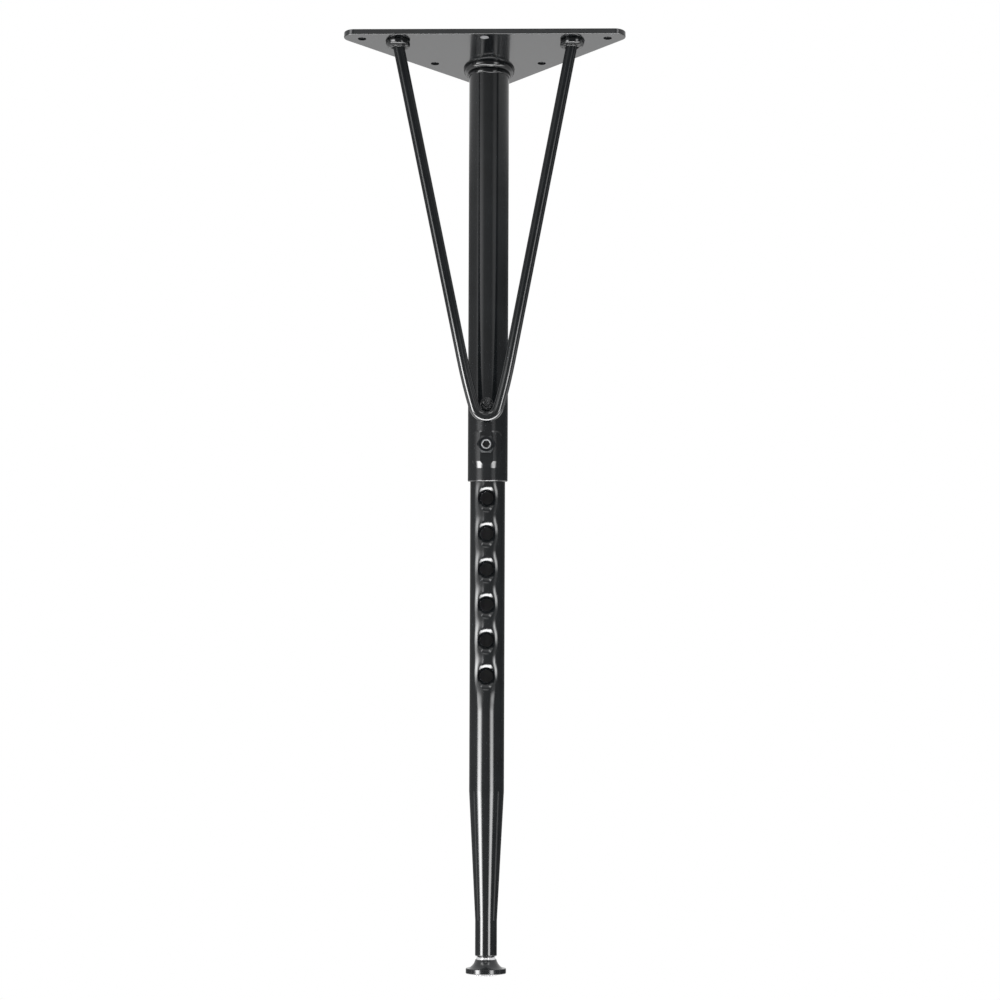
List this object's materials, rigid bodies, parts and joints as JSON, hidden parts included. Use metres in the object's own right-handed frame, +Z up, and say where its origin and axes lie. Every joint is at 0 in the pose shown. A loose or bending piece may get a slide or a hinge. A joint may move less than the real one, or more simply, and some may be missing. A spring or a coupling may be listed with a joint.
{
  "type": "height adjustable table leg",
  "caption": "Splayed telescopic table leg with a triangular corner plate, a bent-rod V brace, a lock screw, pressed adjusting holes, a tapered end and a swivel foot.",
  "frame": {"origin": "where the leg's centre line meets the plate's top face, which lies against the table", "axes": "+Z up out of the plate's top face, +X right along the plate's long edge, +Y from the brace towards the plate's right-angled corner, the way the leg leans"},
  "size_m": [0.1988, 0.2495, 0.6332],
  "materials": {
    "frame_coat": "gloss",
    "leg_coat": "gloss",
    "weld_coat": "gloss",
    "lock_steel": "satin",
    "plated_steel": "polished",
    "base_plastic": "gloss",
    "plug_plastic": "matte",
    "pad_plastic": "matte"
  },
  "bodies": {
    "frame": {"mounting_plate": "frame_coat", "upper_tube": "frame_coat", "tube_weld": "weld_coat", "brace_rod": "frame_coat", "brace_weld_left": "weld_coat", "brace_weld_right": "weld_coat", "bend_weld": "weld_coat", "lock_nut": "lock_steel"},
    "lock": {"lock_screw": "lock_steel"},
    "lower_leg": {"lower_tube": "leg_coat", "foot_insert": "plug_plastic", "foot_stem": "plated_steel"},
    "foot": {"foot_base": "base_plastic", "foot_pad": "pad_plastic"}
  },
  "joints": [
    {"name": "leg_height", "type": "slide", "parent": "frame", "child": "lower_leg", "axis": [0, -0.2588, 0.9659], "range_m": [-0.0632, 0.1654]},
    {"name": "lock_screw_travel", "type": "slide", "parent": "frame", "child": "lock", "axis": [0, -0.9659, -0.2588], "range_m": [0, 0.006]},
    {"name": "foot_tilt", "type": "hinge", "parent": "lower_leg", "child": "foot", "pos_m": [0, 0.16656, -0.62161], "axis": [1, 0, 0], "range_deg": [-15, 15]}
  ]
}
